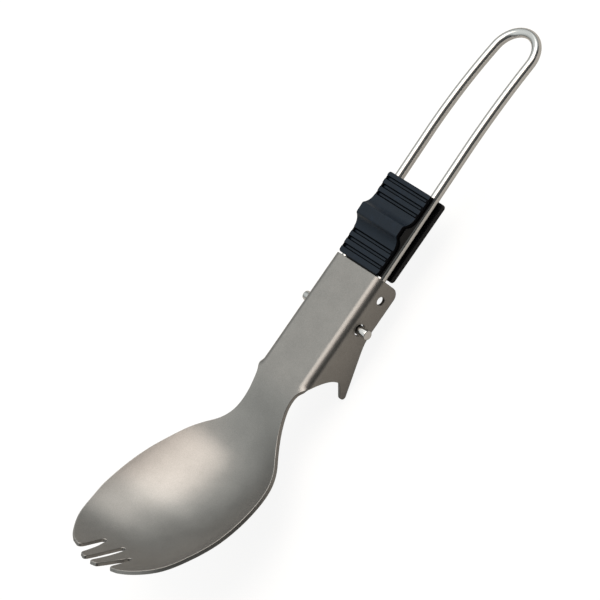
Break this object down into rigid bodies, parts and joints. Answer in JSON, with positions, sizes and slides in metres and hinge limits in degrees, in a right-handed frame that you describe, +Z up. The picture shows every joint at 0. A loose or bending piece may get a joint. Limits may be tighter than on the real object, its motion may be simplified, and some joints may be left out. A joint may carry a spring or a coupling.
{
  "type": "folding spork",
  "caption": "Folding spork: an oval bowl with short tines on a hinge channel, a bent-wire loop handle that folds under it, and a sliding ribbed grip that locks it open.",
  "frame": {"origin": "middle of the bounding box seen from above, at the height of the two hook lugs' lowest points", "axes": "+Y along the spork from the tines towards the handle's loop, +Z up out of the bowl, +X across, with the spork alike on both sides of X = 0"},
  "size_m": [0.0422, 0.1627, 0.031],
  "materials": {
    "titanium_sheet": "fine bead-blasted satin",
    "steel_wire": "polished stainless wire",
    "black_grip": "satin moulded"
  },
  "bodies": {
    "head": {"spork_head": "titanium_sheet"},
    "handle": {"wire_handle": "steel_wire"},
    "grip": {"grip_slider": "black_grip"}
  },
  "joints": [
    {"name": "handle_fold", "type": "hinge", "parent": "head", "child": "handle", "pos_m": [0, -0.00046, 0.00875], "axis": [-1, 0, 0], "range_deg": [0, 174]},
    {"name": "grip_slide", "type": "slide", "parent": "handle", "child": "grip", "axis": [0, 0.9998, 0.0216], "range_m": [0, 0.012]}
  ]
}
